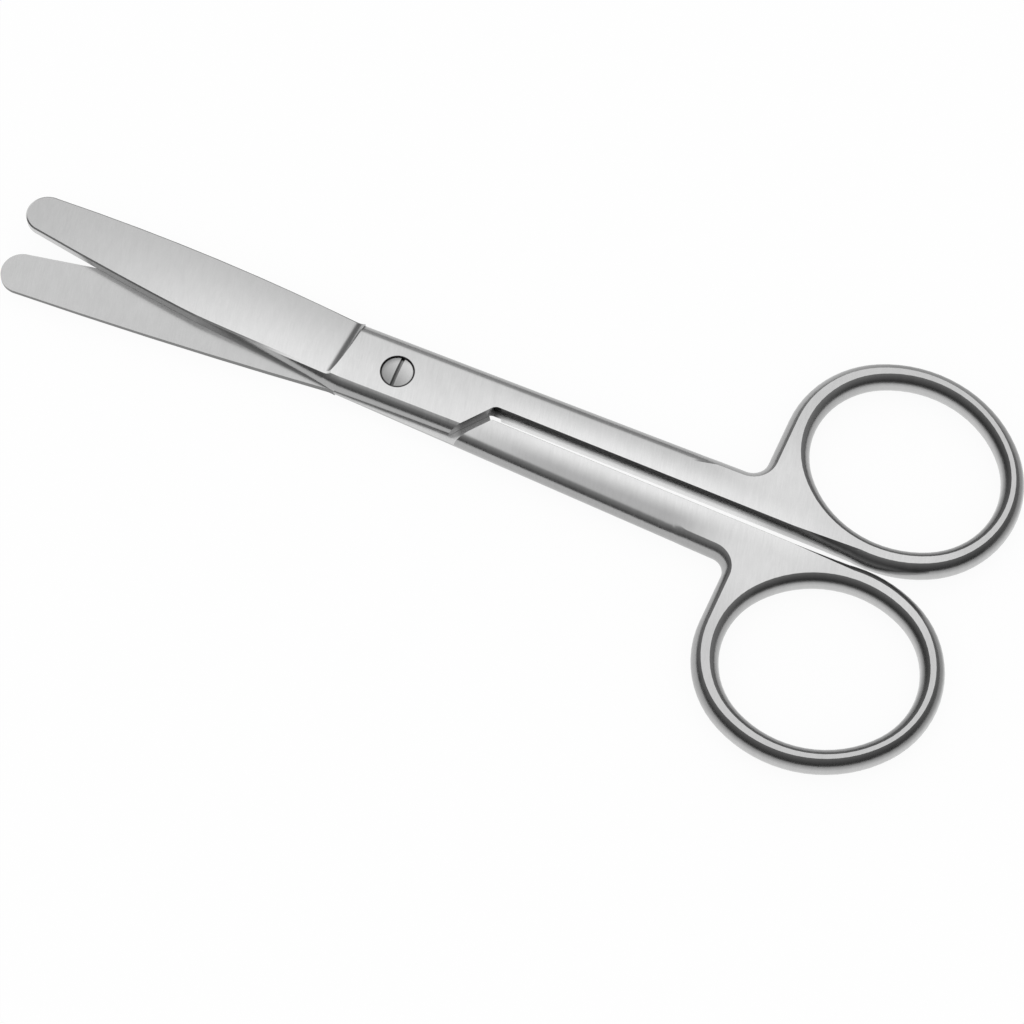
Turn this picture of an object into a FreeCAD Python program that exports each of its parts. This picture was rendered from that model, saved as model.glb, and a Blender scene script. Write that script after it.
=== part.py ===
import FreeCAD, Part
import math
import os
import re

import Sketcher
from FreeCAD import Vector

# Dissecting scissors, closed, lying on their flat side.
# The origin is on the pivot axis in the plane of the underside. +X runs along the middle
# of the pair towards the finger rings, +Z points up out of the screw head.
# Both halves follow one pattern, the lower one turned over, and are then ground by hand as
# a pair. A size that begins with front_ or rear_ is one where the upper and the lower differ.
# Each half is drawn as the upper one, with its rounded shank on the +Y side.

SIZES = {
    # Whole half, millimetres and degrees
    "thickness": 4.4,            # shank, ring and both lapped plates together
    "lap_gap": 0.04,             # running clearance between the two lapped faces
    "handle_angle": 1.3,         # plate and shank against the middle line
    "shoulder": 7.1,             # pivot axis to the shoulder where the blade begins
    "front_side": 5.45,          # pivot axis to the rounded outer side
    "rear_side": 5.8,
    "side_bulge": 1.3,           # how far the rounded side stands out past the flat face
    "soft_bulge": 2.2,           # the same nearer the pivot, where the side is rounder
    "soft_end": 42,              # pivot axis to where the side begins to grow crisper
    "crisp_start": 46,           # pivot axis to where it has done so
    "spine_side": 5.3,           # pivot axis to the plate's other rounded side
    "spine_bulge": 1.45,
    # Step between the lapped plate and the full shank
    "step_place": 13.95,         # pivot axis to the plate's end, along the middle line
    "step_angle": 52.5,          # slant of the step against the middle line
    "step_clearance": 1.6,       # space between the two halves' steps
    "step_round": 1.0,           # inner corner between step and shank
    "front_wall_start": 0.7,     # middle line to the inner wall's crease, near the step
    "rear_wall_start": 1.35,
    "front_wall_end": 1.1,       # the same, where the wall begins to run into the ring
    "rear_wall_end": 1.4,
    "wall_bulge": 0.6,           # how far the inner wall stands out past its crease
    "wall_run": 10,              # length over which it takes the ring's own roundness
    "wall_tuck": 0.1,            # how deep it ends inside the ring
    # Finger ring, an oval drawn with four arcs
    "front_ring_start": 51.95,   # pivot axis to where the ring begins
    "rear_ring_start": 52.55,
    "front_ring_gap": 0.22,      # middle line to the nearest point of the ring
    "rear_ring_gap": 0.32,
    "front_toe_in": 11.7,        # slant of the oval's long axis
    "rear_toe_in": 13.5,
    "ring_half_length": 17.2,
    "ring_half_width": 15.4,
    "hole_shift_along": 0.3,     # the hole stands off the outside oval's middle
    "hole_shift_out": 0.2,
    "hole_half_length": 13.6,
    "hole_half_width": 11.85,
    "oval_corner": 51,           # direction in which an end arc meets a flank arc
    "web_width": 8,              # filling between shank and ring
    "web_round": 2.3,            # inside corner between shank and ring
    # Blades
    "front_blade_reach": 58.5,   # pivot axis to the tip
    "rear_blade_reach": 58.3,
    "tip_round": 3.0,
    "front_blade_angle": 2.6,    # blade against the middle line
    "rear_blade_angle": 7.1,
    "front_heel_inset": 0.25,    # cutting side's heel inside the plate's rounded side
    "rear_heel_inset": 0.3,
    "belly_place": 29,           # where the two sides' widths are measured
    "front_edge_belly": 4.82,    # cutting side from the blade's middle line
    "rear_edge_belly": 4.1,
    "spine_belly": 5.05,
    "grind_angle": 6.5,          # slope of the ground outer face, spine to edge
    "grind_heel": 0.61,          # its depth on the blade's middle line at the shoulder
    "grind_tip": 1.2,            # and at the tip
    "wheel_round": 2.0,          # hollow left by the wheel at the shoulder
    "edge_bevel": 0.2,           # upper blade, along the cutting edge and round the tip
    # Pivot screw
    "head_diameter": 4.4,
    "head_height": 1.0,
    "head_dome": 0.16,
    "head_clearance": 0.15,
    "neck_diameter": 3.2,
    "neck_clearance": 0.04,
    "thread_diameter": 2.6,
    "end_recess": 0.15,          # screw's end above the underside
    "slot_width": 0.55,
    "slot_depth": 0.7,
    "slot_angle": 92,
}

doc = FreeCAD.newDocument("DissectingScissors")
sheet = doc.addObject("Spreadsheet::Sheet", "Sizes")
for row, (alias, value) in enumerate(SIZES.items(), start=1):
    sheet.set("A%d" % row, alias)
    sheet.set("B%d" % row, str(value))
    sheet.setAlias("B%d" % row, alias)
doc.recompute()


def size(formula):
    """Write a formula of sizes with the sheet's name before every alias."""
    return re.sub("[a-z_]+", lambda word: "Sizes." * (word[0] in SIZES) + word[0], formula)


def worth(formula):
    """The present value of a formula of sizes, as a plain number."""
    result = sheet.evalExpression(size(formula))
    return float(getattr(result, "Value", result))


ORIGIN = (-1, 1)
UP = {"XY_Plane": "vector(0; 0; 1)", "XZ_Plane": "vector(0; 1; 0)", "YZ_Plane": "vector(0; 1; 0)"}


def turned(role, angle):
    """A turn about the pivot's direction, in the terms of one of the body's planes."""
    return "placement(vector(0; 0; 0); rotation(%s; %s))" % (UP[role], size(angle))


def moved(across, up, out):
    """A shift along a plane's own three directions."""
    return "placement(vector(%s; %s; %s); rotation(vector(0; 0; 1); 0))" % (
        size(across), size(up), size(out))


def add_sketch(body, name, role, *steps):
    """A sketch on one of the body's planes, carried along by turns and shifts."""
    sketch = body.newObject("Sketcher::SketchObject", name)
    plane = [item for item in body.Origin.OriginFeatures if item.Role == role][0]
    sketch.AttachmentSupport = [(plane, "")]
    sketch.MapMode = "FlatFace"
    if steps:
        sketch.setExpression("AttachmentOffset", " * ".join(steps))
    doc.recompute()
    return sketch


def hold(sketch, geometry, end, point):
    """Tie one point of a sketch to two formulas of sizes."""
    for kind, formula in zip(("DistanceX", "DistanceY"), point):
        index = sketch.addConstraint(
            Sketcher.Constraint(kind, *ORIGIN, geometry, end, worth(formula)))
        sketch.setExpression("Constraints[%d]" % index, size(formula))


def place_of(point):
    """A point's present place in its sketch."""
    return Vector(worth(point[0]), worth(point[1]), 0)


def outline(sketch, corners, bows=None):
    """A closed outline through the corners; side number i is an arc through bows[i]."""
    bows = bows or {}
    count = len(corners)
    starts, finishes = [], []
    for i, corner in enumerate(corners):
        begin, finish = place_of(corner), place_of(corners[(i + 1) % count])
        if i not in bows:
            index = sketch.addGeometry(Part.LineSegment(begin, finish))
            starts.append((index, 1))
            finishes.append((index, 2))
            continue
        middle = place_of(bows[i])
        circle = Part.Arc(begin, middle, finish).toShape().Curve
        onward = (middle - begin).cross(finish - middle).z > 0
        first, last = (begin, finish) if onward else (finish, begin)
        angles = [math.atan2(p.y - circle.Center.y, p.x - circle.Center.x) for p in (first, last)]
        upright = Part.Circle(circle.Center, Vector(0, 0, 1), circle.Radius)
        if angles[1] < angles[0]:
            angles[1] += 2 * math.pi
        index = sketch.addGeometry(Part.ArcOfCircle(upright, *angles))
        starts.append((index, 1 if onward else 2))
        finishes.append((index, 2 if onward else 1))
        mark = sketch.addGeometry(Part.Point(middle), True)
        sketch.addConstraint(Sketcher.Constraint("PointOnObject", mark, 1, index))
        hold(sketch, mark, 1, bows[i])
    for i in range(count):
        sketch.addConstraint(
            Sketcher.Constraint("Coincident", *finishes[i - 1], *starts[i]))
        hold(sketch, *starts[i], corners[i])
    doc.recompute()
    return sketch


def circle(sketch, diameter):
    """A circle about the sketch's origin."""
    index = sketch.addGeometry(Part.Circle(Vector(0, 0, 0), Vector(0, 0, 1), worth(diameter) / 2))
    sketch.addConstraint(Sketcher.Constraint("Coincident", index, 3, *ORIGIN))
    held = sketch.addConstraint(Sketcher.Constraint("Diameter", index, worth(diameter)))
    sketch.setExpression("Constraints[%d]" % held, size(diameter))
    doc.recompute()
    return sketch


def feature(body, kind, name, sketch, **settings):
    """A feature of the body made from a sketch; a setting in words is a formula of sizes."""
    before = body.Shape.Volume if body.Tip else 0
    item = body.newObject("PartDesign::" + kind, name)
    if sketch:
        item.Profile = sketch
    for key, value in settings.items():
        if isinstance(value, str) and key in ("Length", "Angle", "Radius", "Size"):
            item.setExpression(key, size(value))
        else:
            setattr(item, key, value)
    doc.recompute()
    change = body.Shape.Volume - before
    print("%-22s %+9.3f mm3" % (item.Name, change))
    if kind in ("Pocket", "Groove", "SubtractiveLoft") and change >= 0:
        raise RuntimeError(name + " takes nothing away")
    return item


def bar(body, which):
    """Plate and shank in one bar, whose outer side grows crisper towards the ring."""
    outer = which + "_side"
    inner = "-(spine_side - spine_bulge)"
    sections = []
    for place, bulge in (("-shoulder", "soft_bulge"), ("soft_end", "soft_bulge"),
                         ("crisp_start", "side_bulge")):
        section = add_sketch(body, "BarSection", "YZ_Plane",
                             turned("YZ_Plane", "handle_angle"), moved("0", "0", place))
        crease = "%s - %s" % (outer, bulge)
        outline(section, [
            (inner, "0"),
            (crease, "0"),
            (crease, "thickness"),
            (inner, "thickness"),
        ], {
            1: (outer, "thickness / 2"),
            3: ("-spine_side", "thickness / 2"),
        })
        sections.append(section)
    feature(body, "Pad", "SoftBar", sections[0], Length="shoulder + soft_end")
    feature(body, "AdditiveLoft", "BarTaper", sections[1], Sections=sections[2:], Ruled=True)
    feature(body, "Pad", "CrispBar", sections[2], Length=ring_place(which) + " - crisp_start")


def oval_offsets(long, wide):
    """How far an oval's end arcs and flank arcs have their centres from its middle."""
    spread = "((%s - %s) / (sin(oval_corner * 1deg) + cos(oval_corner * 1deg) - 1))" % (long, wide)
    return "(%s * cos(oval_corner * 1deg))" % spread, "(%s * sin(oval_corner * 1deg))" % spread


def ring_place(which):
    """How far along the pair the ring's middle lies, by its own length from where it begins."""
    return "(%s_ring_start + ring_half_length)" % which


def ring_middle(which):
    """The middle of the ring's outside, beside the middle line by its own width and gap."""
    _, flank = oval_offsets("ring_half_length", "ring_half_width")
    side = "(ring_half_width + %s * (1 - cos(%s_toe_in * 1deg)) + %s_ring_gap)" % (
        flank, which, which)
    return ring_place(which), side


def ring_nearest(which):
    """How far along the pair the ring's outside comes nearest to the middle line."""
    _, flank = oval_offsets("ring_half_length", "ring_half_width")
    return "(%s + %s * sin(%s_toe_in * 1deg))" % (ring_place(which), flank, which)


def inner_side(body, which):
    """Cut away what lies beyond the slanted step, then lay the shank's swelling inner wall."""
    below = "-2 * spine_side"
    depth = "side_bulge / 2"
    start, finish = which + "_wall_start", which + "_wall_end"
    run_begins, run_ends = ring_place(which) + " - wall_run", ring_nearest(which)
    nearest = which + "_ring_gap + side_bulge + wall_tuck"
    sketch = add_sketch(body, "InnerSide", "XY_Plane", moved("0", "0", "thickness"))
    outline(sketch, [
        ("step_place - 2 * spine_side / tan(step_angle * 1deg)", below),
        ("step_place + (%s + %s) / tan(step_angle * 1deg)" % (start, depth),
         "%s + %s" % (start, depth)),
        (run_begins, "%s + %s" % (finish, depth)),
        (run_ends, "%s + %s" % (nearest, depth)),
        (run_ends + " + spine_side", below),
    ])
    feature(body, "Pocket", "InnerSideCut", sketch, Type="ThroughAll")
    along = "(%s - step_place / 2)" % run_begins
    slope = "atan((%s - %s) / %s)" % (finish, start, along)
    length = "(%s / cos(%s))" % (along, slope)
    begin = (moved(start, "0", "step_place / 2"), turned("YZ_Plane", slope))
    sections = []
    for steps, bulge in ((begin, "wall_bulge"),
                         ((*begin, moved("0", "0", length)), "wall_bulge"),
                         ((moved(nearest, "0", run_ends),), "side_bulge")):
        section = add_sketch(body, "InnerWallSection", "YZ_Plane", *steps)
        outline(section, [
            ("0", "0"),
            ("2 * " + depth, "0"),
            ("2 * " + depth, "thickness"),
            ("0", "thickness"),
        ], {
            3: ("-" + bulge, "thickness / 2"),
        })
        sections.append(section)
    feature(body, "Pad", "InnerWall", sections[0], Length=length)
    feature(body, "AdditiveLoft", "WallToRing", sections[1], Sections=sections[2:], Ruled=True)


def oval_arcs(long, wide):
    """The four arcs of an oval: direction, centre's offset, radius and half of its angle."""
    end, flank = oval_offsets(long, wide)
    for direction in (0, 180):
        yield direction, end, "(%s - %s)" % (long, end), "oval_corner"
    for direction in (90, 270):
        yield direction, "-" + flank, "(%s + %s)" % (wide, flank), "(90 - oval_corner)"


def ring(body, which):
    """The finger ring: a round-sided oval disc, then a round-sided oval hole through it."""
    place, side = ring_middle(which)
    for part, kind, long, wide, along, out, swell in (
            ("Rim", "Revolution", "ring_half_length", "ring_half_width",
             place, side, "-side_bulge"),
            ("Hole", "Groove", "hole_half_length", "hole_half_width",
             "(%s + hole_shift_along)" % place, "(%s + hole_shift_out)" % side,
             "+ side_bulge")):
        for direction, offset, radius, half in oval_arcs(long, wide):
            name = "%s%d" % (part, direction)
            sketch = add_sketch(body, name + "Section", "XZ_Plane",
                                moved(along, "0", "-1 * " + out),
                                turned("XZ_Plane", "%d - %s_toe_in" % (direction, which)),
                                moved(offset, "0", "0"))
            face = "%s %s" % (radius, swell)
            outline(sketch, [("0", "0"), (face, "0"), (face, "thickness"), ("0", "thickness")],
                    {1: (radius, "thickness / 2")})
            feature(body, kind, name, sketch, ReferenceAxis=(sketch, ["V_Axis"]),
                    Midplane=True, Angle="2 * " + half)


def web(body, which):
    """Fill the space between shank and ring, and sweep a hollow round its inside corner."""
    place, side = ring_middle(which)
    end, _ = oval_offsets("ring_half_length", "ring_half_width")
    across = "(%s - %s * cos(%s_toe_in * 1deg) - (ring_half_length - %s))" % (
        place, end, which, end)
    level = "(%s + %s * sin(%s_toe_in * 1deg))" % (side, end, which)
    sketch = add_sketch(body, "WebSection", "XZ_Plane", moved(across, "0", "-1 * " + level))
    outline(sketch, [
        ("side_bulge", "0"),
        ("web_width", "0"),
        ("web_width", "thickness"),
        ("side_bulge", "thickness"),
    ], {
        3: ("0", "thickness / 2"),
    })
    feature(body, "Pad", "Web", sketch, Length="%s - %s_side / 2" % (level, which))
    axis = "(%s - web_round)" % across
    beside = "((%s_side + web_round + %s * sin(handle_angle * 1deg)) / cos(handle_angle * 1deg))" % (
        which, axis)
    corner = add_sketch(body, "WebCornerSection", "XZ_Plane", moved(axis, "0", "-1 * " + beside),
                        turned("XZ_Plane", "(handle_angle - 90) / 2"))
    crease = "web_round + side_bulge"
    behind = "sqrt(2) * (web_round + side_bulge)"
    outline(corner, [
        (crease, "0"),
        (behind, "0"),
        (behind, "thickness"),
        (crease, "thickness"),
    ], {
        3: ("web_round", "thickness / 2"),
    })
    feature(body, "Revolution", "WebCorner", corner, ReferenceAxis=(corner, ["V_Axis"]),
            Midplane=True, Angle="90 - handle_angle")


def lap(body):
    """Halve the plate, up to a slanted step that faces the other half's plate."""
    sketch = add_sketch(body, "Lap", "XY_Plane")
    across = "step_place + step_clearance / sin(step_angle * 1deg)"
    lean = "2 * spine_side / tan(step_angle * 1deg)"
    outline(sketch, [
        ("%s - %s" % (across, lean), "2 * spine_side"),
        ("-2 * shoulder", "2 * spine_side"),
        ("-2 * shoulder", "-2 * spine_side"),
        ("%s + %s" % (across, lean), "-2 * spine_side"),
    ])
    feature(body, "Pocket", "LapCut", sketch, Length="(thickness + lap_gap) / 2", Reversed=True)


def heel(side, lean):
    """A corner of the shoulder, as the blade's own sketch sees it."""
    return ("-1 * (shoulder * cos(%s) + %s * sin(%s))" % (lean, side, lean),
            "-1 * shoulder * sin(%s) + %s * cos(%s)" % (lean, side, lean))


def blade(body, which):
    """A leaf-shaped blade, thick at the spine, with its outer face ground down to the edge."""
    angle, reach = which + "_blade_angle", which + "_blade_reach"
    lean = "((%s + handle_angle) * 1deg)" % angle
    sketch = add_sketch(body, "BladeOutline", "XY_Plane",
                        turned("XY_Plane", "-1 * " + angle), moved("0", "0", "(thickness + lap_gap) / 2"))
    outline(sketch, [
        heel("(%s_side - %s_heel_inset)" % (which, which), lean),
        ("tip_round - " + reach, "tip_round"),
        ("tip_round - " + reach, "-tip_round"),
        heel("(-spine_side)", lean),
    ], {
        0: ("-belly_place", which + "_edge_belly"),
        1: ("-" + reach, "0"),
        2: ("-belly_place", "-spine_belly"),
    })
    feature(body, "Pad", "Blade", sketch, Length="(thickness - lap_gap) / 2")
    round_spine(body, angle)
    grind(body, angle, reach)


def round_spine(body, angle):
    """Carry the plate's rounded side on along the spine, until it has faded to a flat wall."""
    outside = "-2 * spine_side"
    round_side = "-(spine_side - spine_bulge)"
    at_plate = add_sketch(body, "SpineAtPlate", "YZ_Plane",
                          turned("YZ_Plane", "handle_angle"), moved("0", "0", "-shoulder"))
    outline(at_plate, [
        (round_side, "0"),
        (round_side, "thickness"),
        (outside, "thickness"),
        (outside, "0"),
    ], {
        0: ("-spine_side", "thickness / 2"),
    })
    at_belly = add_sketch(body, "SpineAtBelly", "YZ_Plane",
                          turned("YZ_Plane", "-1 * " + angle), moved("0", "0", "-belly_place"))
    outline(at_belly, [
        ("-spine_belly", "0"),
        ("-spine_belly", "thickness"),
        (outside, "thickness"),
        (outside, "0"),
    ])
    feature(body, "SubtractiveLoft", "SpineRound", at_plate, Sections=[at_belly], Ruled=True)


def grind(body, angle, reach):
    """Slope the outer face from spine to edge, with a hollow where the wheel met the shoulder."""
    profile = add_sketch(body, "GroundFace", "XZ_Plane",
                         moved("0", "thickness", "0"), turned("XZ_Plane", "-1 * " + angle),
                         "placement(vector(0; 0; 0); rotation(vector(1; 0; 0); -1 * Sizes.grind_angle))")
    bend = "wheel_round * (1 - sqrt(0.5))"
    beyond = "-%s - tip_round" % reach
    outline(profile, [
        (beyond, "-grind_tip"),
        ("-shoulder - wheel_round", "-grind_heel"),
        ("-shoulder", "wheel_round - grind_heel"),
        ("-shoulder", "2 * thickness"),
        (beyond, "2 * thickness"),
    ], {
        1: ("-shoulder - %s" % bend, "%s - grind_heel" % bend),
    })
    feature(body, "Pocket", "Grind", profile, SideType="Symmetric", Length="6 * spine_side")


def bevel_edge(body, angle):
    """Break the ground face's border along the cutting side, round the tip and up the spine."""
    tip = body.Tip
    ahead = [face for face in tip.Shape.Faces if face.CenterOfMass.x < -worth("shoulder")]
    ground = max((face for face in ahead if face.normalAt(0, 0).z > 0.9), key=lambda face: face.Area)
    turn = FreeCAD.Rotation(Vector(0, 0, 1), angle)
    chosen = []
    for number, edge in enumerate(tip.Shape.Edges, start=1):
        middle = turn.multVec(edge.valueAt((edge.FirstParameter + edge.LastParameter) / 2))
        past_belly = middle.x < -worth("belly_place")
        along_edge = middle.y > 0 and middle.x < -2 * worth("shoulder")
        if any(edge.isSame(border) for border in ground.Edges) and (past_belly or along_edge):
            chosen.append("Edge%d" % number)
    feature(body, "Chamfer", "EdgeBevel", None, Base=(tip, chosen), Size="edge_bevel")


def round_corner(body, name, radius, x, y):
    """Round the upright edge that stands nearest to a place seen from above."""
    tip = body.Tip
    best = None
    for number, edge in enumerate(tip.Shape.Edges, start=1):
        box = edge.BoundBox
        if box.ZLength < max(box.XLength, box.YLength):
            continue
        middle = edge.valueAt((edge.FirstParameter + edge.LastParameter) / 2)
        distance = math.hypot(middle.x - x, middle.y - y)
        if best is None or distance < best[0]:
            best = (distance, number)
    feature(body, "Fillet", name, None, Base=(tip, ["Edge%d" % best[1]]), Radius=radius)


def bored(body, name, diameter, height, depth=None):
    """A round hole down from a height, through or to a depth."""
    sketch = circle(add_sketch(body, name + "Circle", "XY_Plane", moved("0", "0", height)), diameter)
    if depth:
        feature(body, "Pocket", name, sketch, Length=depth)
    else:
        feature(body, "Pocket", name, sketch, Type="ThroughAll")


def half(which):
    """One half of the pair, drawn as the upper one."""
    body = doc.addObject("PartDesign::Body", which + "_half")
    body.Label = which + "_half"
    bar(body, which)
    inner_side(body, which)
    web(body, which)
    ring(body, which)
    lap(body)
    round_corner(body, "StepRound", "step_round", worth("step_place"), worth(which + "_wall_start"))
    blade(body, which)
    return body


def front_half():
    """The upper half carries the screw's head, and its ground face shows, so its border is broken."""
    body = half("front")
    bevel_edge(body, worth("front_blade_angle"))
    bored(body, "NeckBore", "neck_diameter + 2 * neck_clearance", "thickness")
    bored(body, "HeadSeat", "head_diameter + 2 * head_clearance", "thickness", "head_height")
    return body


def rear_half():
    """The lower half takes the screw's thread and lies turned over beneath the upper one."""
    body = half("rear")
    bored(body, "ThreadBore", "thread_diameter", "thickness")
    body.setExpression("Placement", "placement(vector(0; 0; Sizes.thickness); "
                                    "rotation(vector(1; 0; 0); 180))")
    return body


def pivot_screw():
    """A slotted screw with a low domed head, a plain neck and a thinner threaded end."""
    body = doc.addObject("PartDesign::Body", "pivot_screw")
    body.Label = "pivot_screw"
    profile = add_sketch(body, "ScrewProfile", "XZ_Plane")
    seat = "thickness - head_height"
    lap_face = "(thickness - lap_gap) / 2"
    rim = "head_diameter / 2"
    outline(profile, [
        ("0", "end_recess"),
        ("thread_diameter / 2", "end_recess"),
        ("thread_diameter / 2", lap_face),
        ("neck_diameter / 2", lap_face),
        ("neck_diameter / 2", seat),
        (rim, seat),
        (rim, "thickness - head_dome"),
        ("0", "thickness + head_dome"),
    ], {
        6: ("head_diameter / 4", "thickness + head_dome / 2"),
    })
    feature(body, "Revolution", "Screw", profile, ReferenceAxis=(profile, ["V_Axis"]), Angle="360")
    slot = add_sketch(body, "SlotOutline", "XY_Plane", turned("XY_Plane", "slot_angle"),
                      moved("0", "0", "thickness + 2 * head_dome"))
    outline(slot, [
        ("-head_diameter", "-slot_width / 2"),
        ("head_diameter", "-slot_width / 2"),
        ("head_diameter", "slot_width / 2"),
        ("-head_diameter", "slot_width / 2"),
    ])
    feature(body, "Pocket", "Slot", slot, Length="slot_depth + 2 * head_dome")
    return body


nodes = [front_half(), rear_half(), pivot_screw()]
doc.recompute()

for item in doc.Objects:
    if "Invalid" in item.State or "Error" in item.State:
        raise RuntimeError(item.Name + " did not build")
for body in nodes:
    if body.Shape.isNull() or not body.Shape.isValid():
        raise RuntimeError(body.Label + " has no valid shape")

os.makedirs("parts", exist_ok=True)
for body in nodes:
    body.Shape.exportStep("parts/%s.step" % body.Label)
    box = body.Shape.BoundBox
    print(body.Label, "solids", len(body.Shape.Solids), "faces", len(body.Shape.Faces),
          "x %.2f to %.2f, y %.2f to %.2f, z %.2f to %.2f" % (
              box.XMin, box.XMax, box.YMin, box.YMax, box.ZMin, box.ZMax))
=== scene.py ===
# %% [markdown]
# # Dissecting scissors in satin steel
# The pair lies closed on its flat side: two forged halves and the slotted screw that they
# turn about. Their shapes come packed as a fixed frame, in metres, with the origin under
# the screw, +X towards the finger rings and +Z up. This lesson adds what a frame lacks:
# the ground and brushed steel, a table, the light and the camera.

# %% The fixed frame
import math

import bmesh
import bpy
from mathutils import Euler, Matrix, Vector


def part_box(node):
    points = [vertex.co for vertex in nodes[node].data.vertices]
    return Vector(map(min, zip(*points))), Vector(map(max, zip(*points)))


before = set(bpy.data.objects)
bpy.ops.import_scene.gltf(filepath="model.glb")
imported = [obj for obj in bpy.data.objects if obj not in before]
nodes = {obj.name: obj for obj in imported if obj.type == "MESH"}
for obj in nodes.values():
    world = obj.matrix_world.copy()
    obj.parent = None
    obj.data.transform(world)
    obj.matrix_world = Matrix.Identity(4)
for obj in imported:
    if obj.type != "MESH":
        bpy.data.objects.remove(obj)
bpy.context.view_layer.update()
MM = 0.001

# %% [markdown]
# ## The camera first
# A product photographer stands well back with a long lens, so that the near and far rings
# keep the same size. Here the camera leans 24 degrees off the vertical and is turned a
# little about it, which sets the pair on a diagonal with the tips at the upper left. Its
# place follows from one known point: the middle of the screw's head and where it is seen.

# %% Camera
IMAGE_SIZE = 1024
SENSOR = 36.0
NEAREST = 0.01
LEAN = math.radians(24)
TURN = math.radians(24.3)
DISTANCE = 0.650
PIXELS_PER_METRE = 7190
SCREW_SEEN_AT = Vector((397.4, 371.4))


def add_camera(target):
    """A camera that sees the target at SCREW_SEEN_AT, at the given scale and distance."""
    focal = PIXELS_PER_METRE * DISTANCE
    data = bpy.data.cameras.new("camera")
    data.sensor_width = SENSOR
    data.lens = focal * SENSOR / IMAGE_SIZE
    data.clip_start = NEAREST
    made = bpy.data.objects.new("camera", data)
    bpy.context.scene.collection.objects.link(made)
    made.rotation_euler = Euler((LEAN, 0, TURN))
    turn = made.rotation_euler.to_matrix()
    right, up, back = turn.col
    depth = DISTANCE - target.dot(back)
    offset = (SCREW_SEEN_AT - Vector((IMAGE_SIZE, IMAGE_SIZE)) / 2) * depth / focal
    made.location = right * (target.dot(right) - offset.x) + up * (target.dot(up) + offset.y)
    made.location += back * DISTANCE
    return made


_, half_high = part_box("front_half")
head_middle = Vector((0, 0, half_high.z))
camera = add_camera(head_middle)
bpy.context.scene.camera = camera
print("lens %.1f mm, camera at %s" % (camera.data.lens, tuple(round(v, 4) for v in camera.location)))

# %% [markdown]
# ## Writing shader maths as sums
# A material is a tree of nodes, and adding every Math node by hand hides what is meant.
# One small class wraps an output socket, so that `1 - mask` or `grain * 0.1 + 0.3` adds the
# nodes by itself. Its one method for all other nodes takes the type, the settings and the
# values or links of the sockets.

# %% Sockets as numbers
class Wire:
    """An output socket in a node tree; sums of wires and numbers become Math nodes."""

    def __init__(self, tree, socket=None):
        self.tree = tree
        self.socket = socket

    def node(self, kind, settings=None, inputs=None, output=0):
        """Add a node of any type and give one of its outputs, if it has any."""
        made = self.tree.nodes.new(kind)
        for name, value in (settings or {}).items():
            setattr(made, name, value)
        for name, value in (inputs or {}).items():
            if isinstance(value, Wire):
                self.tree.links.new(value.socket, made.inputs[name])
            else:
                made.inputs[name].default_value = value
        return Wire(self.tree, made.outputs[output] if len(made.outputs) else None)

    def maths(self, operation, first, second=0.0):
        """Add a Math node that takes one or two wires or numbers."""
        return self.node("ShaderNodeMath", {"operation": operation}, {0: first, 1: second})

    def __add__(self, other):
        return self.maths("ADD", self, other)

    def __radd__(self, other):
        return self.maths("ADD", other, self)

    def __sub__(self, other):
        return self.maths("SUBTRACT", self, other)

    def __rsub__(self, other):
        return self.maths("SUBTRACT", other, self)

    def __mul__(self, other):
        return self.maths("MULTIPLY", self, other)

    def __rmul__(self, other):
        return self.maths("MULTIPLY", other, self)

    def __abs__(self):
        return self.maths("ABSOLUTE", self)

    def between(self, low, high):
        """0 below low, 1 above high, smooth on the way."""
        return self.node("ShaderNodeMapRange", {"interpolation_type": "SMOOTHSTEP"},
                         {"Value": self, "From Min": low, "From Max": high})

    def mix(self, first, last):
        """From first where this wire is 0 to last where it is 1."""
        return first + (last - first) * self

    def fade(self, low, high, first, last):
        """First below low, last above high, smooth on the way."""
        return self.between(low, high).mix(first, last)

    def zone(self, begins, ends):
        """1 between two soft borders, each a pair of values, and 0 outside."""
        return self.between(*begins) * (1 - self.between(*ends))

    def parts(self):
        """The X, Y and Z of a vector."""
        split = self.node("ShaderNodeSeparateXYZ", None, {"Vector": self}).socket.node
        return [Wire(self.tree, socket) for socket in split.outputs]


def new_material(name):
    """An empty node material and its tree as a wire."""
    made = bpy.data.materials.new(name)
    made.use_nodes = True
    made.node_tree.nodes.clear()
    return made, Wire(made.node_tree)


print("a wire adds, subtracts, multiplies and fades")

# %% [markdown]
# ## Where on the pair
# The halves are ground by hand, so no face is quite flat, and the flat faces get a painted
# reflection for this: each is painted lightest beside the middle line and darker towards the
# outer side. The painted reflection reads the object's own coordinates in millimetres, so
# that every painted shade stays on the steel when a half turns about the screw. Outward is
# the way from the middle line to a half's own ring: +Y on the upper half and -Y on the lower.

# %% Painted reflection on the flat faces of the handles
# Two places in mm along the pair, where one shade gives way to the next
SHANK_BEGINS = (6.0, 26.0)
WEB_BEGINS = (42, 54)
RING_BEGINS = (58, 68)
# Two places in mm outward and the painted reflection's shades at them
PLATE = (-4.0, 3.6, 0.75, 0.64)
UPPER_SHANK = (1.0, 4.6, 0.82, 0.57)
LOWER_SHANK = (1.6, 4.6, 0.80, 0.42)
WEB = (1.0, 4.0, 0.78, 0.70)
WEB_DIMS = (8.0, 18.0, 1.0, 0.84)
RING = (2.0, 10.0, 0.66, 0.57)


def places(tree):
    """The object's own X, Y and Z in millimetres."""
    own = tree.node("ShaderNodeTexCoord", output="Object")
    return [part * (1 / MM) for part in own.parts()]


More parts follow.
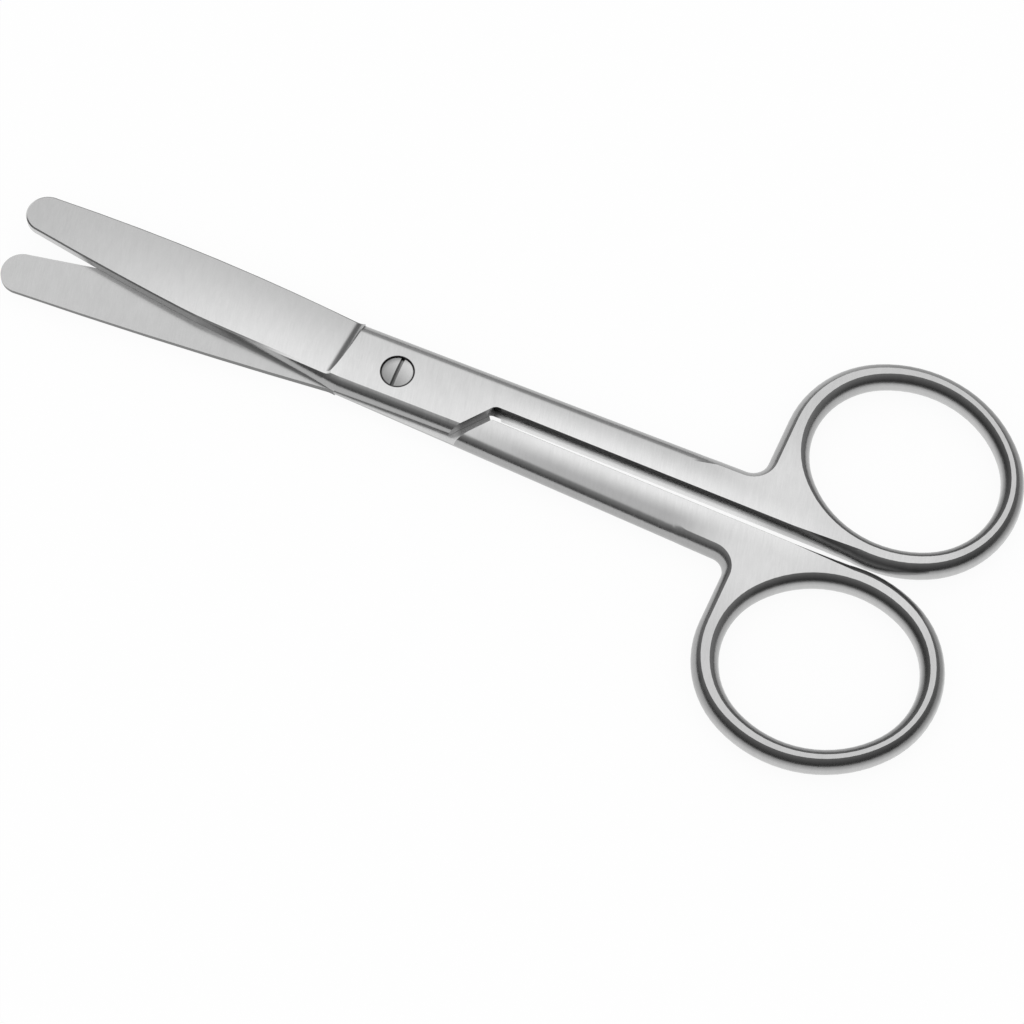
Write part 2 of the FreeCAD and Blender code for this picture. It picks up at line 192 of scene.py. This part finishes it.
def painted_face_reflection(x, outward, shank):
    """Painted reflection on the flat faces, from the plate round the screw to the ring."""
    web = outward.fade(*WEB) * outward.fade(*WEB_DIMS)
    shade = x.between(*SHANK_BEGINS).mix(outward.fade(*PLATE), outward.fade(*shank))
    shade = x.between(*WEB_BEGINS).mix(shade, web)
    return x.between(*RING_BEGINS).mix(shade, outward.fade(*RING))


print("shade of the plate", PLATE[2:], "upper shank", UPPER_SHANK[2:], "ring", RING[2:])

# %% [markdown]
# ## Walls and rounded sides
# The sides get painted shade: they are painted darker than the faces, and on the rings
# darkest beside the crease. The wall between the shanks gets painted light towards its foot,
# where the other shank throws light on it. The slanted steps get painted shadow, as hardly
# any light reaches them.

# %% Sides of the handles
# Painted shade on the sides, darker than the faces
SIDE_PAINTED_SHADE = 0.40
# How far a surface faces up or down, 0 to 1, and the painted shades there
RING_SIDE = (0.2, 0.65, 0.52, 0.23)
RING_SIDE_BEGINS = (52, 64)
# Two heights in mm and the painted light at them, brightest at the foot
WALL = (2.2, 4.2, 0.75, 0.30)
WALL_BEGINS = (14, 18)
WALL_ENDS = (50, 60)
WALL_ACROSS = (2.0, 3.2)
# Painted shadow on the slanted steps
STEP_PAINTED_SHADE = 0.14
STEP_BEGINS = (8.0, 9.5)
STEP_ENDS = (14.0, 15.5)
STEP_ACROSS = (3.4, 4.2)


def painted_side_shading(x, y, z, outward, upwards):
    """Painted shade and painted light on the walls and rounded sides behind the blade."""
    shade = x.between(*RING_SIDE_BEGINS).mix(SIDE_PAINTED_SHADE, abs(upwards).fade(*RING_SIDE))
    at_wall = x.zone(WALL_BEGINS, WALL_ENDS) * (1 - outward.between(*WALL_ACROSS))
    shade = at_wall.mix(shade, z.fade(*WALL))
    at_step = x.zone(STEP_BEGINS, STEP_ENDS) * (1 - abs(y).between(*STEP_ACROSS))
    return at_step.mix(shade, STEP_PAINTED_SHADE)


print("shade of the sides", SIDE_PAINTED_SHADE, "steps", STEP_PAINTED_SHADE)

# %% [markdown]
# ## The two halves
# The blade begins at a crisp shoulder, where the grinding wheel leaves a hollow that gets
# painted shade. From there its ground face gets a painted reflection that goes darker towards
# the tip and towards the cutting side, whose fine bevel turns away from the light and gets
# painted shade. The lower half shows the flat inner face of its blade, and painted shade on
# the blade's sides. Round the screw's head the upper half has a seat, and the gap there gets
# painted shade, nearly black.

# %% Painted light and shade of the halves
# Two places in mm along the pair, and two across the blade, spine first
SHOULDER = (-7.4, -6.8)
ACROSS_BLADE = (-5.5, 6.0)
BLADE_ANGLE = math.radians(2.6)
# Two places in mm along the blade, tip first, and the painted shades at them
PAINTED_REFLECTION_BESIDE_SPINE = (-62, -14, 0.54, 0.80)
# The spine's sides get painted light towards the tip
UPPER_SPINE_PAINTED_SHADE = (-62, -30, 0.60, SIDE_PAINTED_SHADE)
# Painted reflection on the cutting side, and painted shade on its fine bevel
CUTTING_SIDE_PAINTED_REFLECTION = 0.54
BEVEL_PAINTED_SHADE = 0.04
# The lower blade's flat face, and painted shade on its sides
LAPPED_FACE = 0.57
LOWER_BLADE_PAINTED_SHADE = 0.16
# How far a surface faces the tip, 0 to 1, and the share of light it keeps under the hollow's painted
# shade
HOLLOW = (0.04, 0.35, 1.0, 0.5)
# How far a surface faces +Y where the spine's painted shade gives way to the bevel's
BEVEL_BEGINS = (0.3, 0.6)
SEAT_RADIUS = 2.35
# Two squares of the distance from the axis in mm, and the share of light kept there under the seat's
# painted shade
SEAT = (SEAT_RADIUS ** 2 + 0.1, SEAT_RADIUS ** 2 + 0.7, 0.06, 1.0)


def upper_painted_light(tree, normal):
    """Painted reflection and painted shade of the upper half's flat faces and sides."""
    x, y, z = places(tree)
    along, away, upwards = normal.parts()
    lit = (x * x + y * y).fade(*SEAT)
    across = y + x * math.tan(BLADE_ANGLE)
    # Painted shade in the hollow, painted reflection across the blade, painted shade on its sides
    hollow = (0 - along).fade(*HOLLOW)
    blade = across.between(*ACROSS_BLADE).mix(x.fade(*PAINTED_REFLECTION_BESIDE_SPINE), CUTTING_SIDE_PAINTED_REFLECTION) * hollow
    edge = away.between(*BEVEL_BEGINS).mix(x.fade(*UPPER_SPINE_PAINTED_SHADE), BEVEL_PAINTED_SHADE)
    handle = x.between(*SHOULDER)
    faces = handle.mix(blade, painted_face_reflection(x, y, UPPER_SHANK))
    sides = handle.mix(edge, painted_side_shading(x, y, z, y, upwards))
    return faces * lit, sides * lit


def lower_painted_light(tree, normal):
    """Painted reflection and painted shade of the lower half's flat faces and sides."""
    x, y, z = places(tree)
    outward = y * -1
    upwards = normal.parts()[2]
    handle = x.between(*SHOULDER)
    faces = handle.mix(LAPPED_FACE, painted_face_reflection(x, outward, LOWER_SHANK))
    return faces, handle.mix(LOWER_BLADE_PAINTED_SHADE, painted_side_shading(x, y, z, outward, upwards))


print("blade from", PAINTED_REFLECTION_BESIDE_SPINE[2], "at the tip to", PAINTED_REFLECTION_BESIDE_SPINE[3], "at the shoulder")

# %% [markdown]
# ## The screw
# The head is turned to a low dome and polished, and gets a painted highlight on one side
# only, here the far right. Its rim and its slot get painted shadow: the slot's floor keeps a
# little light and its walls next to none.

# %% Painted light and shade of the screw
# Painted highlight on the head: its middle, and how it rises towards +X and +Y
HEAD_HIGHLIGHT_MIDDLE = 0.50
HEAD_HIGHLIGHT_SLOPE = (0.035, 0.10)
HEAD_RADIUS = 2.2
RIM_WIDTH = 0.14
# Two squares of the distance from the axis in mm, and the share of light kept there under the rim's
# painted shadow
RIM = ((HEAD_RADIUS - RIM_WIDTH) ** 2, HEAD_RADIUS ** 2, 1.0, 0.3)
ABOVE_SLOT = (3.9, 4.25)
# Painted shadow: the share of light kept on the slot's floor, and the head's sides in shadow and in
# light
SLOT_FLOOR_PAINTED_SHADOW = 0.35
HEAD_SIDES_PAINTED_SHADOW = (0.02, 0.3)


def screw_painted_light(tree, normal):
    """Painted highlight and painted shadow of the screw's flat faces and sides."""
    x, y, z = places(tree)
    lit = z.between(*ABOVE_SLOT) * (x * x + y * y).fade(*RIM)
    # Painted highlight, lighter towards +X and +Y
    head_highlight = HEAD_HIGHLIGHT_MIDDLE + x * HEAD_HIGHLIGHT_SLOPE[0] + y * HEAD_HIGHLIGHT_SLOPE[1]
    return head_highlight * lit.mix(SLOT_FLOOR_PAINTED_SHADOW, 1.0), lit.mix(*HEAD_SIDES_PAINTED_SHADOW)


print("screw's head is", HEAD_HIGHLIGHT_MIDDLE, "in the middle")

# %% [markdown]
# ## Satin steel
# After grinding, the halves are drawn over a fine belt. That leaves short hair lines a few
# tenths of a millimetre apart, which run across the piece, and faint cloudy patches where
# the belt pressed harder. A Principled shader with Metallic 1 does the reflection; noise
# that is stretched along the hair lines varies its colour, roughness and bump.

# %% Steel
# Widths across and along in mm, and the noise's detail
LINES = (0.16, 1.8, 3.0)
CLOUDS = (1.1, 3.0, 2.0)
# How much lines and clouds change the shade and the roughness
SHADE_VARIES = (0.17, 0.13)
ROUGHNESS_VARIES = (0.10, 0.06)
NOISE_ROUGHNESS = 0.6
BUMP_STRENGTH = 0.5
# Roughness, and the depth of the hair lines in mm
SATIN = (0.23, 0.006)
POLISHED = (0.22, 0.003)
# How far a surface faces up or down where the sides give way to the flat faces
FLAT = (0.78, 0.97)
BELT_ANGLE = math.radians(104)
LATHE_ANGLE = math.radians(92)


def stretched_noise(tree, angle, across, along, detail):
    """Noise drawn out into lines at an angle to +X; across and along are sizes in mm."""
    own = tree.node("ShaderNodeTexCoord", output="Object")
    turned = tree.node("ShaderNodeMapping", {"vector_type": "TEXTURE"},
                       {"Vector": own, "Rotation": (0, 0, angle),
                        "Scale": (along * MM, across * MM, along * MM)})
    return tree.node("ShaderNodeTexNoise", None,
                     {"Vector": turned, "Scale": 1.0, "Detail": detail,
                      "Roughness": NOISE_ROUGHNESS})


def steel(name, angle, shades, roughness, depth):
    """Brushed steel with its hair lines at an angle; shades gives the painted light and shade of
    faces and sides.
    """
    made, tree = new_material(name)
    lines = stretched_noise(tree, angle, *LINES) - 0.5
    clouds = stretched_noise(tree, angle, *CLOUDS) - 0.5
    normal = tree.node("ShaderNodeTexCoord", output="Normal")
    # The painted light and shade of faces and sides go into the colour, mixed by how far a surface
    # faces up
    faces, sides = shades(tree, normal)
    shade = abs(normal.parts()[2]).between(*FLAT).mix(sides, faces)
    shade = shade * (1 + lines * SHADE_VARIES[0] + clouds * SHADE_VARIES[1])
    rough = roughness + lines * ROUGHNESS_VARIES[0] + clouds * ROUGHNESS_VARIES[1]
    bump = tree.node("ShaderNodeBump", None,
                     {"Height": lines, "Distance": depth * MM, "Strength": BUMP_STRENGTH})
    surface = tree.node("ShaderNodeBsdfPrincipled", None,
                        {"Base Color": shade, "Metallic": 1.0, "Roughness": rough, "Normal": bump})
    tree.node("ShaderNodeOutputMaterial", None, {"Surface": surface})
    return made


def dress(node, material):
    """Give a node of the frame its finish in every material slot."""
    for slot in nodes[node].material_slots:
        slot.material = material
    print(node, "wears", material.name)


dress("front_half", steel("satin_steel_upper", BELT_ANGLE, upper_painted_light, *SATIN))
dress("rear_half", steel("satin_steel_lower", BELT_ANGLE, lower_painted_light, *SATIN))
dress("pivot_screw", steel("screw_steel", LATHE_ANGLE, screw_painted_light, *POLISHED))

# %% [markdown]
# ## Table and sky
# The pair lies on a white table under a plain white sky, which lights every colour about as
# it is written. To the camera and in reflections the table mostly glows white by itself, so
# that it stays white right up to the faint soft shadow at the steel.

# %% Table and sky
TABLE_WIDTH = 4.0
TABLE_BELOW = 0.02
CLOTH = (0.9, 0.9, 0.9, 1)
WHITE = (1, 1, 1, 1)
GLOW_SHARE = 0.93


def add_stage(name, shape, material):
    """Add a shape that belongs to the studio and not to the object."""
    mesh = bpy.data.meshes.new(name)
    shape.to_mesh(mesh)
    shape.free()
    mesh.materials.append(material)
    made = bpy.data.objects.new(name, mesh)
    bpy.context.scene.collection.objects.link(made)
    return made


def seen_directly(tree):
    """1 where the camera looks, straight or in a mirror or through glass, and 0 elsewhere."""
    rays = [tree.node("ShaderNodeLightPath", output=name)
            for name in ("Is Camera Ray", "Is Glossy Ray", "Is Transmission Ray")]
    return tree.maths("MINIMUM", rays[0] + rays[1] + rays[2], 1.0)


table_material, tree = new_material("table_white")
cloth = tree.node("ShaderNodeBsdfDiffuse", None, {"Color": CLOTH})
glow = tree.node("ShaderNodeEmission", None, {"Color": WHITE, "Strength": 1.0})
mixed = tree.node("ShaderNodeMixShader", None,
                  {0: seen_directly(tree) * GLOW_SHARE, 1: cloth, 2: glow})
tree.node("ShaderNodeOutputMaterial", None, {"Surface": mixed})
shape = bmesh.new()
bmesh.ops.create_grid(shape, x_segments=1, y_segments=1, size=TABLE_WIDTH / 2)
bmesh.ops.translate(shape, verts=shape.verts, vec=(0, 0, -TABLE_BELOW * MM))
add_stage("table", shape, table_material)

world = bpy.data.worlds.new("sky")
bpy.context.scene.world = world
world.use_nodes = True
world.node_tree.nodes.clear()
tree = Wire(world.node_tree)
sky = tree.node("ShaderNodeBackground", None, {"Color": WHITE, "Strength": 1.0})
tree.node("ShaderNodeOutputWorld", None, {"Surface": sky})
print("table", TABLE_WIDTH, "m wide under a plain white sky")

# %% [markdown]
# ## A tent that only the steel sees
# Steel shows what it reflects, so photographers put it in a dark tent with a window
# overhead: flat faces mirror the window and go light, and rounded sides mirror the tent's
# wall and get their dark lines. The tent is a sphere that only reflections see. Its colour
# is a bright window with a soft edge, and a wall that darkens towards the table, most on
# the camera's side.

# %% Tent
TENT_RADIUS = 0.9
TENT_SEGMENTS = (64, 32)
WINDOW_AXIS = Vector((0.0, 0.185, 1.0)).normalized()
WINDOW_EDGE = (math.cos(math.radians(46)), math.cos(math.radians(38)))
# Parts of the direction from the tent's middle, and the wall's brightness there
WALL_FOOT = (-0.4, 0.7, 0.07, 0.34)
WALL_RISES = (0.0, 0.9)
WALL_TOP = 0.40

tent_material, tree = new_material("tent")
own = tree.node("ShaderNodeTexCoord", output="Object")
direction = tree.node("ShaderNodeVectorMath", {"operation": "NORMALIZE"}, {0: own})
toward = tree.node("ShaderNodeVectorMath", {"operation": "DOT_PRODUCT"},
                   {0: direction, 1: WINDOW_AXIS}, "Value")
_, away, height = direction.parts()
wall = height.between(*WALL_RISES).mix(away.fade(*WALL_FOOT), WALL_TOP)
light = toward.between(*WINDOW_EDGE).mix(wall, 1.0)
tent_glow = tree.node("ShaderNodeEmission", None, {"Color": light, "Strength": 1.0})
tree.node("ShaderNodeOutputMaterial", None, {"Surface": tent_glow})
shape = bmesh.new()
bmesh.ops.create_uvsphere(shape, u_segments=TENT_SEGMENTS[0], v_segments=TENT_SEGMENTS[1],
                          radius=TENT_RADIUS)
tent = add_stage("tent", shape, tent_material)
for ray in ("camera", "diffuse", "shadow", "transmission", "volume_scatter"):
    setattr(tent, "visible_" + ray, False)
print("tent wall from", WALL_FOOT[2], "near the camera to", WALL_TOP, "at the window")

# %% [markdown]
# ## Picture settings
# The plain view transform shows colours as they are written.

# %% Picture settings
scene = bpy.context.scene
scene.view_settings.view_transform = "Standard"
